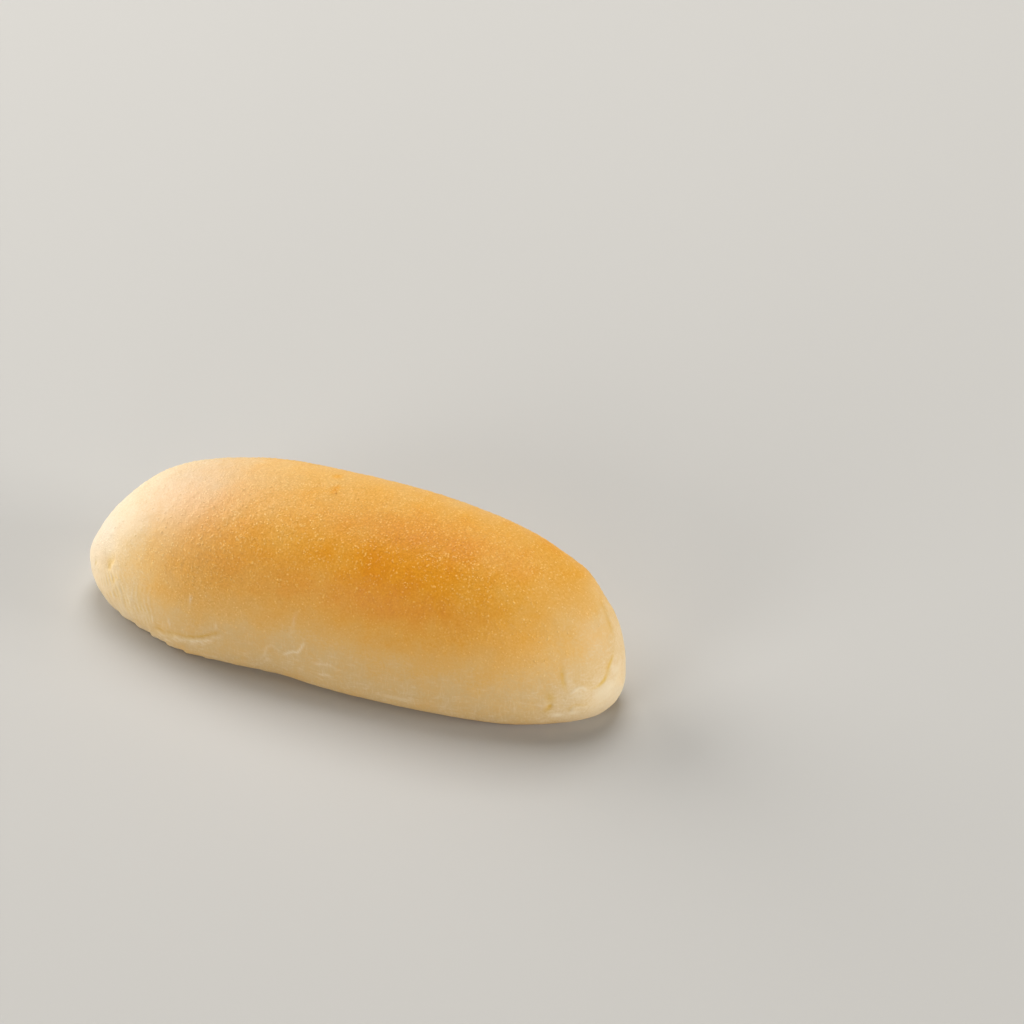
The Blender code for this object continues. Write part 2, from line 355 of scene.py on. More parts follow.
@dataclass(frozen=True)
class Line:
    """A fold or crinkle along a path on the crust.

    Sizes are in mm. The path's points are (along X, section angle in degrees). A fold's lip
    lies on the path's left, seen from outside the bun and walking from first to last point.
    """

    kind: Stroke
    height: float
    half_width: float
    slope: float = 0.8
    lip: float = 0.0
    lip_gap: float = 1.5
    lip_half_width: float = 1.3
    gold: float = 1.0
    gold_spread: float = 1.3  # in half widths
    gold_aside: float = 0.1  # towards the outer side
    pallor: float = 0.8
    fade_share: float = 0.22
    path: tuple[Pair, ...] = ()
    spans: int = 6
    nudge: Pair = (0.05, 0.5)  # mm and degrees, to find the normal
    reach: float = 8.0
    uneven: Ripples = Ripples(0.16, (2.5, 6.0), 5, 71)
    ragged: Ripples = Ripples(0.18, (1.0, 3.5), 5, 72)

    def along(self, *path: Pair, **changes: float) -> "Line":
        """The same kind of line on its own path, with some of its values changed."""
        return replace(self, path=path, **changes)

    def curve(self, form: Form) -> tuple[Array, Array]:
        """The path as a smooth curve on the crust.

        Catmull-Rom through the corners: each span blends its four nearest corners.

        Args:
            form: the smooth bun.

        Returns:
            Points along it and the crust's outward direction there.
        """
        corners = np.array([self.path[0], *self.path, self.path[-1]], float)
        t = np.linspace(0.0, 1.0, self.spans, endpoint=False)[:, None]
        a, b, c, d = (corners[k:len(corners) - 3 + k] for k in range(4))
        runs = [0.5 * (2 * q + (r - p) * t + (2 * p - 5 * q + 4 * r - s) * t ** 2
                       + (3 * q - p - 3 * r + s) * t ** 3) for p, q, r, s in zip(a, b, c, d)]
        x, angle = np.concatenate([*runs, corners[-1:]]).T
        here = form.at(x, angle)
        dx, turn = self.nudge
        along = form.at(x + dx, angle) - form.at(x - dx, angle)
        around = form.at(x, angle + turn) - form.at(x, angle - turn)
        return here, unit(np.cross(around, along))

    def follow(self, form: Form, points: Array) -> tuple[Array, Array]:
        """Distance of every point from the path.

        Args:
            form: the smooth bun.
            points: places in metres (count, 3).

        Returns:
            The gap in mm, positive on the lip's side, and the strength along the path,
            which fades to 0 at both of its ends.
        """
        line, outward = self.curve(form)
        nearest = np.full(len(points), np.inf)
        signed = np.full(len(points), np.inf)
        share = np.zeros(len(points))
        steps = len(line) - 1
        for index in range(steps):
            run = line[index + 1] - line[index]
            along = np.clip((points - line[index]) @ run / (run @ run), 0.0, 1.0)
            offset = points - line[index] - along[:, None] * run
            gap = np.linalg.norm(offset, axis=1)
            closer = gap < nearest
            side = np.where(offset @ np.cross(outward[index], run) >= 0.0, 1.0, -1.0)
            nearest = np.where(closer, gap, nearest)
            signed = np.where(closer, gap * side / MM, signed)
            share = np.where(closer, (index + along) / steps, share)
        strength = smoothstep(np.minimum(share, 1.0 - share), 0.0, self.fade_share)
        return signed, strength

    def mark(self, form: Form, points: Array, skin: SkinFields) -> None:
        """Add the line's relief, gold and pallor to the skin's fields.

        A tuck's groove falls gently on its outer side, exp(gap / slope), and rises
        steeply under the lip; the lip is a bell beside it, ragged by slow ripples. A
        crinkle is a thin bell.
        """
        line, _ = self.curve(form)
        reach = self.reach * MM
        low, high = line.min(axis=0) - reach, line.max(axis=0) + reach
        near = np.flatnonzero(((points > low) & (points < high)).all(axis=1))
        gap, strength = self.follow(form, points[near])
        strength = strength * (1.0 + self.uneven.at(points[near]))
        if self.kind is Stroke.CRINKLE:
            ridge = strength * bell(gap, self.half_width)
            skin["relief"][near] += self.height * MM * ridge
            skin["pale"][near] = np.maximum(skin["pale"][near], self.pallor * ridge)
            return
        outer = np.exp(np.minimum(gap, 0.0) / self.slope) * (gap < 0.0)
        inner = bell(gap, self.half_width) * (gap >= 0.0)
        lip = bell(gap - self.lip_gap - self.ragged.at(points[near]),
                   self.lip_half_width)
        groove = strength * (outer + inner)
        skin["relief"][near] += MM * (strength * self.lip * lip - self.height * groove)
        gold = self.gold * strength * bell(gap + self.gold_aside,
                                           self.half_width * self.gold_spread)
        skin["crease"][near] = np.maximum(skin["crease"][near], gold)
        pallor = self.pallor * strength * lip * (gap > 0.0)
        skin["pale"][near] = np.maximum(skin["pale"][near], pallor)


SWELLS = (
    Swell(-70.4, 79, -0.75, 8),  # flat above the broad tip
    Swell(-75, 104, -0.75, 6),
    Swell(-76, 156, 0.55, 6),  # nose of the broad tip
    Swell(-65, 161, -0.35, 2.6),  # dimple pressed into the broad tip
    Swell(-57, 64, 0.35, 9),  # back of the crown, from end to end
    Swell(-13, 57, -0.40, 12),
    Swell(28, 57, -0.25, 16),
    Swell(62, 54, 0.75, 5.5),  # knob on the rim above the tuck
    Swell(72.5, 47, 0.20, 6),
    Swell(66.6, 66, -0.30, 1.9),  # nick in front of the knob's lower end
    Swell(70.6, 62, 0.40, 2.6),
    Swell(-40, 199, 1.30, 10),  # front of the base, from end to end
    Swell(-11, 198, -0.75, 9),
    Swell(52, 203, 0.45, 9),
    Swell(70.5, 178, 0.55, 4.5),  # plump lower lip of the tuck
    Swell(-9.1, 77, -0.28, 0.9),  # pock marks on the crown
    Swell(-6.7, 88, -0.30, 0.8),
    Swell(-5.2, 81, -0.16, 1.6),
)

SCALLOPS = (
    Scallops(-68.4, -28, 5.8, 1.00, Side.FRONT),
    Scallops(-66, -40, 2.6, 0.28, Side.FRONT),
    Scallops(-26, -6, 9, 0.30, Side.FRONT),
    Scallops(20, 60, 7.5, 0.40, Side.BACK),
)

# The kinds of line that the crust has: shallow creases, fine ones, folds with a pale lip,
# and raised crinkles.
CREASE = Line(Stroke.TUCK, height=0.18, half_width=0.50, lip=0.08, gold=0.60, pallor=0.20,
              fade_share=0.45)
HAIRLINE = Line(Stroke.TUCK, height=0.18, half_width=0.32, slope=0.55, lip=0.12, lip_gap=0.9,
                lip_half_width=0.5, gold=0.40, pallor=0.30, fade_share=0.40)
FOLD = Line(Stroke.TUCK, height=0.30, half_width=0.34, slope=0.9, lip=0.22, lip_half_width=0.8,
            pallor=0.50, fade_share=0.30)
CRINKLE = Line(Stroke.CRINKLE, height=0.09, half_width=0.34, pallor=0.35, fade_share=0.40)

LINES = (
    # The end tuck: a gold valley down from the rim, then a slit with a broad pale lip.
    CREASE.along((67.7, 69.6), (69, 77.5), (70, 79.4), (71.2, 81.5), (73, 86.5), (74.6, 92),
                 half_width=0.55, slope=1, lip=0.12, pallor=0.15, fade_share=0.3),
    FOLD.along((74.9, 91.2), (75.2, 105), (75.3, 118), (75.2, 132.5), (75, 146), (74.7, 156),
               (73.8, 163.7), (72.5, 167.4), (71.5, 168.8), height=0.15, half_width=0.38,
               slope=0.7, lip_gap=2.6, lip_half_width=2.4, pallor=0.64),
    # Creases that meet it low on the side.
    CRINKLE.along((66.9, 171.7), (68, 171.6), (69.2, 167.8), (70.3, 166.6), (71.2, 168.8),
                  (72.2, 169.8), height=0.15, half_width=0.5, pallor=0.55, fade_share=0.3),
    CREASE.along((65, 150), (65.3, 155), (65.7, 160.5), (66.2, 165.8), (66.9, 170.8), (67.7, 176),
                 height=0.07, lip=0.03, pallor=0.15),
    CREASE.along((61.3, 186.3), (62.4, 182), (63.1, 179.5), (64, 178.2), lip=0.1, gold=1,
                 pallor=0.25, fade_share=0.3),
    FOLD.along((72.3, 179.7), (70.3, 179.2), (69.1, 178.9), (68.2, 179.6), (67.7, 183.1),
               (67.3, 188.5), height=0.15, half_width=0.26, slope=0.5, lip=0.14, lip_gap=1,
               lip_half_width=0.7, gold=0.5, pallor=0.45),
    # The crease pressed into the broad tip, a shallow one beside it and those below it.
    CREASE.along((-62.6, 151), (-63.4, 154.5), (-64.6, 158.2), (-65.2, 162.5), (-65.6, 167.5),
                 height=0.34, half_width=0.85, slope=1.2, lip=0.14, gold=0.8, fade_share=0.42),
    CREASE.along((-70.7, 160.5), (-71.1, 165), (-71.6, 170), height=0.16, half_width=0.45,
                 slope=0.7, gold=0.4),
    CREASE.along((-62.5, 165.5), (-62.7, 169), (-63.2, 173.5), half_width=0.55, gold=0.65),
    HAIRLINE.along((-61.8, 170.4), (-61.5, 175), (-60.7, 178.4), (-59.2, 183.1)),
    HAIRLINE.along((-60.2, 167.9), (-59.6, 173.2), (-58.5, 179), (-57, 186.1), (-56.1, 193.3),
                   height=0.24, lip=0.14, gold=0.45, pallor=0.35, fade_share=0.35),
    HAIRLINE.along((-58.7, 168.4), (-58.3, 173.8), (-57, 179.2), (-55.2, 188), gold=0.35),
    CREASE.along((-52.6, 167), (-52.5, 173.4), (-52.4, 179), height=0.1, slope=0.7, lip=0.06,
                 gold=0.35),
    # The fold low on the front of the broad end, with a ragged lip below it.
    FOLD.along((-26.5, 175.8), (-27.6, 176.4), (-30.6, 178.3), (-32.7, 179.4), (-35.1, 180.1),
               (-37.3, 181.3), (-39.6, 181.5), (-42.1, 183.3), (-44.7, 185), (-46.7, 185.3),
               (-48.4, 186.2), height=0.26, lip=0.18, lip_gap=1.2, lip_half_width=0.6, gold=0.75,
               pallor=0.45, fade_share=0.16),
    CRINKLE.along((-48.2, 190.6), (-46.6, 191.4), (-45.6, 194), (-43.6, 191.2), (-42, 191.6),
                  (-40.6, 188), height=0.16, pallor=0.55, fade_share=0.3),
    CRINKLE.along((-38.3, 190.8), (-34.3, 191.4), (-30.5, 193.4), (-26.9, 193.4), height=0.1,
                  half_width=0.5, pallor=0.2),
    # Crinkles of the pale skin on the front side.
    CRINKLE.along((-36.1, 161), (-36.3, 165), (-36.6, 171), height=0.08, pallor=0.38,
                  fade_share=0.45),
    CRINKLE.along((-48.6, 177.4), (-48.5, 180), (-48.3, 184), height=0.12, pallor=0.6,
                  fade_share=0.45),
    CRINKLE.along((-43.3, 175.4), (-42.8, 178), (-42.3, 180.4), pallor=0.4, fade_share=0.45),
    CRINKLE.along((-28.1, 170.8), (-28.4, 173.5), (-28.6, 176), height=0.08, half_width=0.32,
                  pallor=0.45, fade_share=0.45),
    CRINKLE.along((-16.2, 181.6), (-14.2, 179.8), (-13.2, 176.6), (-11.6, 175.9), (-10.3, 176.9),
                  (-8.4, 177.8), height=0.18, half_width=0.36, pallor=0.28, fade_share=0.22),
    CRINKLE.along((-9.4, 178.2), (-8.2, 177.7), (-5.9, 176), (-4.3, 175.4), (-2.8, 172),
                  (-2.4, 169.5), height=0.3, pallor=0.7, fade_share=0.22),
    CRINKLE.along((-7.2, 170.5), (-5.9, 166), (-5.6, 161), (-4.6, 156), height=0.07,
                  half_width=0.45, pallor=0.22, fade_share=0.45),
    CRINKLE.along((-0.6, 178.8), (1.8, 178), (4.9, 177.4), (8, 178.6)),
    CRINKLE.along((0.2, 184.6), (2, 183.2), (3.9, 181.8), (6.5, 182.6)),
    CRINKLE.along((16, 189.5), (21, 188.5), (26, 187.8), (36, 187), height=0.06, half_width=0.6,
                  pallor=0.3),
    # Folds of the back, which are like those of the front.
    FOLD.along((18, 3), (25, -2), (33, -4), (41, -1), (46, 4)),
    FOLD.along((-73, 34), (-71.5, 20), (-68.5, 10), (-64.5, 5), height=0.34, half_width=0.4,
               slope=1, lip_gap=1.8, lip_half_width=1.3, fade_share=0.35),
    CRINKLE.along((-12, 6), (-9, 3), (-5, 5), (-1, 2), height=0.2, pallor=0.55, fade_share=0.22),
)


@dataclass(frozen=True)
class Wrinkles:
    """A patch of fine wrinkles that run down the side of the bun.

    Places are in mm along X and in degrees of section angle; the slant is how many mm
    a wrinkle moves along X for each mm that it runs down.
    """

    x_mm: float
    reach_mm: float
    angles_deg: Pair
    pitch_mm: float
    height_mm: float
    slant: float
    side: Side
    seed: int
    fade_in_deg: Pair = (-9.0, 4.0)
    fade_out_deg: Pair = (-3.0, 6.0)
    least_shown: float = 0.02
    floor: float = 0.4  # of the ridge's height, where it meets the skin
    strength: Pair = (0.75, 1.4)  # usual and greatest
    pallor: float = 0.30
    gold: float = 0.8

    def mark(self, points: Array, around: Array, skin: SkinFields) -> None:
        """Add the wrinkles: narrow ridges (1 + cos)^2 / 4 across their run, in phase
        with a slowly wandering line, under a bell along X and a window round the side."""
        x, y, z = np.moveaxis(points, -1, 0)
        low, high = self.angles_deg
        shown = bell(x / MM - self.x_mm, self.reach_mm) * (y * self.side.value > 0.0)
        shown *= smoothstep(around - low, *self.fade_in_deg)
        shown *= 1.0 - smoothstep(around - high, *self.fade_out_deg)
        near = np.flatnonzero(shown > self.least_shown)
        spot, shown = points[near], shown[near]
        across = (x[near] + self.slant * z[near]) / MM
        wander = Ripples(0.20, (7.0, 15.0), 6, self.seed).at(spot)
        ridge = (1.0 + np.cos(2.0 * math.pi * (across / self.pitch_mm + wander))) ** 2 / 4.0
        usual, greatest = self.strength
        broken = usual + Ripples(0.3, (2.5, 5.0), 5, self.seed + 1).at(spot)
        shown = shown * np.clip(broken, 0.0, greatest)
        skin["relief"][near] += self.height_mm * MM * shown * (ridge - self.floor)
        for name, value in (("pale", self.pallor * shown * ridge),
                            ("crease", self.gold * shown * (self.floor - ridge))):
            skin[name][near] = np.maximum(skin[name][near], value)


@dataclass(frozen=True)
class Patch:
    """A patch of the crust that has more of something than its surroundings, or less."""

    x_mm: float
    angle_deg: float
    amount: float
    reach_mm: float
    reach_deg: float

    def at(self, points: Array, around: Array) -> Array:
        """Amount at places in metres and degrees round: a bell both ways."""
        gap = (around - self.angle_deg + 180.0) % 360.0 - 180.0
        along = bell(points[..., 0] / MM - self.x_mm, self.reach_mm)
        return self.amount * along * bell(gap, self.reach_deg)


def patched(patches: tuple[Patch, ...], points: Array, around: Array) -> Array:
    """Sum of the patches at places in metres and degrees round."""
    return sum(patch.at(points, around) for patch in patches)


@dataclass(frozen=True)
class Bake:
    """How brown the oven made the crust, from 0, cream, to 1, deep golden brown.

    Pairs are the mm along X, or the section angles, between which a level fades.
    """

    side_level: float = 0.37
    side_fade: tuple[Pair, ...] = ((-89, -40), (95, 52))
    top_level: float = 0.51
    top_fade: tuple[Pair, ...] = ((-93, -24), (93, 29))
    front_fade: Pair = (186, 139)
    back_fade: Pair = (-4, 42)
    crown_share: float = 0.49
    crown_fade: Pair = (64, 106)
    uneven: Ripples = Ripples(0.008, (5, 16), 10, 21)
    patches: tuple[Patch, ...] = (
        Patch(-52, 96, -0.28, 44, 29),  # paler crown towards the broad tip, partly paler crust and partly a painted sheen
        Patch(60, 71, 0.23, 13, 36),  # above the tuck
        Patch(18, 134, 0.10, 15, 27),  # darkest, front of the crown
        Patch(-67, 137, -0.24, 23, 22),  # broad tip
        Patch(-1, 171, -0.07, 11, 8), Patch(-42, 166, 0.06, 12, 14), Patch(-62, 98, 0.08, 10, 24),
        Patch(-9.1, 77, 0.24, 1.3, 3),  # two small pock marks on the crown
        Patch(-6.7, 88, 0.25, 1, 2.2), Patch(-47, 66, -0.12, 9, 12), Patch(48, 66, 0.12, 8, 10),
        Patch(24, 100, 0.08, 16, 14), Patch(-7, 128, -0.04, 12, 12),
        Patch(-36, 112, 0.06, 10, 14), Patch(60, 118, -0.03, 8, 14), Patch(73, 118, 0.08, 6, 22),
    )

    def browning(self, points: Array, around: Array) -> Array:
        """Browning at each point.

        The sides have their own level, which fades to the tips. The top adds to it,
        fading to the tips and down both sides, and is weaker at the back of the crown.

        Args:
            points: places in metres (count, 3).
            around: section angles in degrees.

        Returns:
            The browning, from 0 to 1.
        """
        x = points[:, 0] / MM
        side, top = (level * np.prod([smoothstep(x, *fade) for fade in fades], axis=0)
                     for level, fades in ((self.side_level, self.side_fade),
                                          (self.top_level, self.top_fade)))
        top *= smoothstep(around, *self.front_fade) * smoothstep(around, *self.back_fade)
        top *= self.crown_share + (1.0 - self.crown_share) * smoothstep(around,
                                                                        *self.crown_fade)
        level = side + top + patched(self.patches, points, around)
        return np.clip(level + self.uneven.at(points), 0.0, 1.0)


BAKE = Bake()

# Where the crust's colour differs from what its browning alone would make it: tints of its own,
# and painted sheen, light and shade.
TINTS: dict[str, tuple[Patch, ...]] = {
    # A pinkish painted sheen on the crown towards the broad tip, and on the tip itself, where the
    # window's light glances off.
    "painted_sheen": (
        Patch(-47, 102, 0.31, 18, 35), Patch(-72, 140, 0.14, 8, 40),
    ),
    # The lower edge took the tray's brown.
    "base": (Patch(45, 207, 0.80, 17, 7),),
    # Gold hollows, and pale spots of flour and taut skin, beside the folds.
    "crease": (
        Patch(63.3, 175, 0.60, 1.1, 3), Patch(75, 138, 0.60, 0.5, 14),
        Patch(71.4, 163.4, 0.22, 1.6, 3), Patch(69.2, 90.5, 0.30, 0.9, 3),
    ),
    "pale": (
        Patch(65, 190.1, 0.95, 1.3, 3), Patch(68.5, 188.1, 0.80, 1.4, 4.5),
        Patch(69.5, 172.5, 0.30, 2, 4), Patch(-52, 199, 0.40, 10, 5),
    ),
    # Painted light and shade: patches of the skin made lighter where more light falls and darker
    # where shade falls.
    "painted_light_shade": (
        Patch(-57, 155, 0.23, 14, 22), Patch(58, 148, 0.11, 13, 22),
        Patch(14, 102, -0.08, 26, 14), Patch(-30, 72, 0.07, 24, 14), Patch(-74, 176, 0.09, 8, 16),
        Patch(-75, 150, 0.05, 8, 30), Patch(60, 117, 0.03, 10, 14), Patch(54, 190, -0.04, 11, 8),
        Patch(74, 135, 0.06, 7, 55), Patch(0, 134, 0.05, 70, 14), Patch(0, 181, -0.05, 60, 12),
        Patch(0, 76, 0.05, 60, 14),
    ),
}

WRINKLES = (
    Wrinkles(-63, 6, (166, 193), 1.9, 0.15, 0.45, Side.FRONT, 31),
    Wrinkles(-52, 4, (166, 190), 1.8, 0.07, 0.10, Side.FRONT, 33),
    Wrinkles(-61, 6, (-10, 14), 2.6, 0.09, 0.30, Side.BACK, 39),
    Wrinkles(58, 7, (-10, 14), 2.2, 0.09, -0.20, Side.BACK, 41),
)


@dataclass
class Crust:
    """The skin of the bun, from tip to tip and closed under its base.

    Steps are numbers of grid steps; sizes are in metres.
    """

    form: Form = field(default_factory=Form)
    rings: int = 470
    back_tuck_steps: int = 8
    back_dome_steps: int = 62
    front_dome_steps: int = 104
    front_tuck_steps: int = 14
    base_steps: int = 14
    fine_from: float = math.radians(98.0)
    column_spread: float = 1.2
    surface: Array = field(init=False)
    surface_fields: dict[str, Array] = field(init=False)

    # Relief in mm: slow waves everywhere, finer ripples where the skin is pebbled, and
    # fainter ones where it is taut.
    waves: Ripples = Ripples(0.035, (22, 48), 7, 5)
    pebbled_ripples: tuple[Ripples, ...] = (Ripples(0.0060, (4, 11), 24, 11),
                                            Ripples(0.0048, (1.5, 3.4), 30, 12))
    taut_ripples: tuple[Ripples, ...] = (Ripples(0.0024, (1.0, 2.6), 24, 13),
                                         Ripples(0.0100, (3, 7), 24, 14))
    # How pebbled the skin is: the share that stays on the smooth pale sides, the section
    # angles over which it rises to 1 in front and at the back, and patches with more or less.
    smooth_side: float = 0.15
    front_pebble: Pair = (178, 142)
    back_pebble: Pair = (0, 34)
    pebble_patches: tuple[Patch, ...] = (
        Patch(0, 97, 0.85, 60, 26), Patch(-71, 162, 0.50, 8, 20), Patch(-56, 123, -0.85, 13, 29),
        Patch(-36, 156, 0.80, 18, 20), Patch(18, 142, -0.46, 26, 22),
        Patch(15, 128, -0.16, 14, 20), Patch(-36, 108, 0.22, 14, 20),
        Patch(54, 160, 0.28, 13, 14), Patch(68, 130, -0.60, 24, 70), Patch(74, 125, -0.35, 9, 50),
        Patch(77, 55, -0.95, 8, 60),
    )

    def stations(self) -> tuple[Array, int, int]:
        """Stations of the rings: sine-spaced, so that they crowd at the tips.

        Returns:
            The stations, and the numbers of the first and last ring on the flat base.
        """
        stations = np.sin(np.linspace(-math.pi / 2, math.pi / 2, self.rings + 1))
        ends = self.form.base_ends()
        first, last = (int(np.abs(stations - end).argmin()) for end in ends)
        stations[first], stations[last] = ends
        return stations, first, last

    def angles(self, stations: Array) -> Array:
        """Section angles (rings, columns) from the base at the back, over the crown, to
        the base in front; close together low on the front, where the folds are."""
        tuck = self.form.tuck_angle(stations)[:, None]
        back = np.linspace(0.0, 1.0, self.back_dome_steps, endpoint=False)
        front = np.linspace(1.0, 0.0, self.front_dome_steps, endpoint=False)
        dome = np.concatenate([
            self.fine_from * back ** self.column_spread,
            math.pi - (math.pi - self.fine_from) * front ** self.column_spread])
        return np.concatenate([
            -tuck * np.linspace(1.0, 0.0, self.back_tuck_steps, endpoint=False),
            np.broadcast_to(dome, (len(stations), len(dome))),
            math.pi + tuck * np.linspace(0.0, 1.0, self.front_tuck_steps + 1)], axis=1)

    def fields(self, points: Array, angles: Array) -> SkinFields:
        """Relief and colour fields of the crust, without its base.

        Args:
            points: the smooth crust (rings, columns, 3).
            angles: section angles (rings, columns).

        Returns:
            The fields, each as one flat array.
        """
        flat, around = points.reshape(-1, 3), np.degrees(angles.ravel())
        skin = {name: np.zeros(len(flat)) for name in ("relief", *COLOUR_FIELDS)}
        skin["browning"] = BAKE.browning(flat, around)
        for name, patches in TINTS.items():
            skin[name] += patched(patches, flat, around)
        for swell in SWELLS:
            skin["relief"] += swell.relief(self.form, flat)
        for scallops in SCALLOPS:
            skin["relief"] += scallops.relief(flat)
        for wrinkles in WRINKLES:
            wrinkles.mark(flat, around, skin)
        for line in LINES:
            line.mark(self.form, flat, skin)
        share = smoothstep(around, *self.front_pebble) * smoothstep(around, *self.back_pebble)
        share = np.maximum(share + patched(self.pebble_patches, flat, around), 0.0)
        pebble = self.smooth_side + (1.0 - self.smooth_side) * share
        skin["pebble"] = pebble
        skin["relief"] += MM * self.waves.at(flat)
        for layers, weight in ((self.pebbled_ripples, pebble),
                               (self.taut_ripples, 1.0 - np.minimum(pebble, 1.0))):
            for layer in layers:
                skin["relief"] += MM * weight * layer.at(flat)
        return skin

    def build(self) -> bpy.types.Object:
        """Make the skin as one closed mesh.

        The relief moves each point along the crust's normal. Near the base the normal is
        turned level, and the lower edge is rounded: at height h below the edge's radius r
        it is drawn in by r - sqrt(r^2 - (r - h)^2). Under the base the columns run
        straight across from the front edge to the back edge.

        Returns:
            The piece.
        """
        stations, first, last = self.stations()
        angles = self.angles(stations)
        smooth = self.form.point(stations[:, None], angles)
        normals = unit(np.cross(np.gradient(smooth, axis=1), np.gradient(smooth, axis=0)))
        skin = self.fields(smooth, angles)
        relief = skin["relief"].reshape(angles.shape)

        level = unit(normals * (1.0, 1.0, 0.0))
        height = smooth[..., 2:3]
        edge = self.form.base_edge
        near_base = np.clip(1.0 - height / (2.0 * edge), 0.0, 1.0)
        direction = normals * (1.0 - near_base) + level * near_base
        below = np.clip(edge - height, 0.0, edge)
        inset = edge - np.sqrt(edge ** 2 - below ** 2)
        shaped = smooth + direction * relief[..., None] - level * inset
        shaped[0], shaped[-1] = smooth[0, 0], smooth[-1, 0]
        shaped[..., 2] = np.maximum(shaped[..., 2], 0.0)
        meet = np.r_[1:first + 1, last:len(stations) - 1]
        shaped[meet, 0] = shaped[meet, -1] = (shaped[meet, 0] + shaped[meet, -1]) / 2
        shaped[first:last + 1, (0, -1), 2] = 0.0

        across = np.linspace(0.0, 1.0, self.base_steps + 1)[1:-1, None]
        under = (shaped[:, -1:] * (1.0 - across) + shaped[:, :1] * across)
        grid = np.concatenate([shaped, under], axis=1)
        low, high = grid.min(axis=(0, 1)), grid.max(axis=(0, 1))
        cad_low, cad_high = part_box("bun")
        middle = (np.array(cad_low) + np.array(cad_high)) / 2
        grid[..., :2] += middle[:2] - (low[:2] + high[:2]) / 2

        marks = {name: skin[name].reshape(angles.shape) for name in COLOUR_FIELDS}
        self.surface, self.surface_fields = grid[:, :angles.shape[1]], marks
        beneath = ((0, 0), (0, self.base_steps - 1))
        fields = {name: np.pad(values, beneath, constant_values=float(name == "base"))
                  for name, values in marks.items()}

        rings, columns = grid.shape[:2]
        number = np.arange(rings * columns).reshape(rings, columns)
        foot = angles.shape[1] - 1
        number[meet, foot:] = number[meet, :1]
        number[0], number[-1] = number[0, 0], number[-1, 0]
        here, right = number, np.roll(number, -1, axis=1)
        quads = np.stack([here[:-1], right[:-1], right[1:], here[1:]], axis=-1).reshape(-1, 4)
        triangles = np.concatenate([quads[:, (0, 1, 2)], quads[:, (0, 2, 3)]])
        a, b, c = triangles.T
        triangles = triangles[(a != b) & (b != c) & (c != a)]
        used, packed = np.unique(triangles, return_inverse=True)
        flat = {name: values.ravel()[used] for name, values in fields.items()}
        return add_mesh("crust", grid.reshape(-1, 3)[used], packed.reshape(-1, 3), flat)


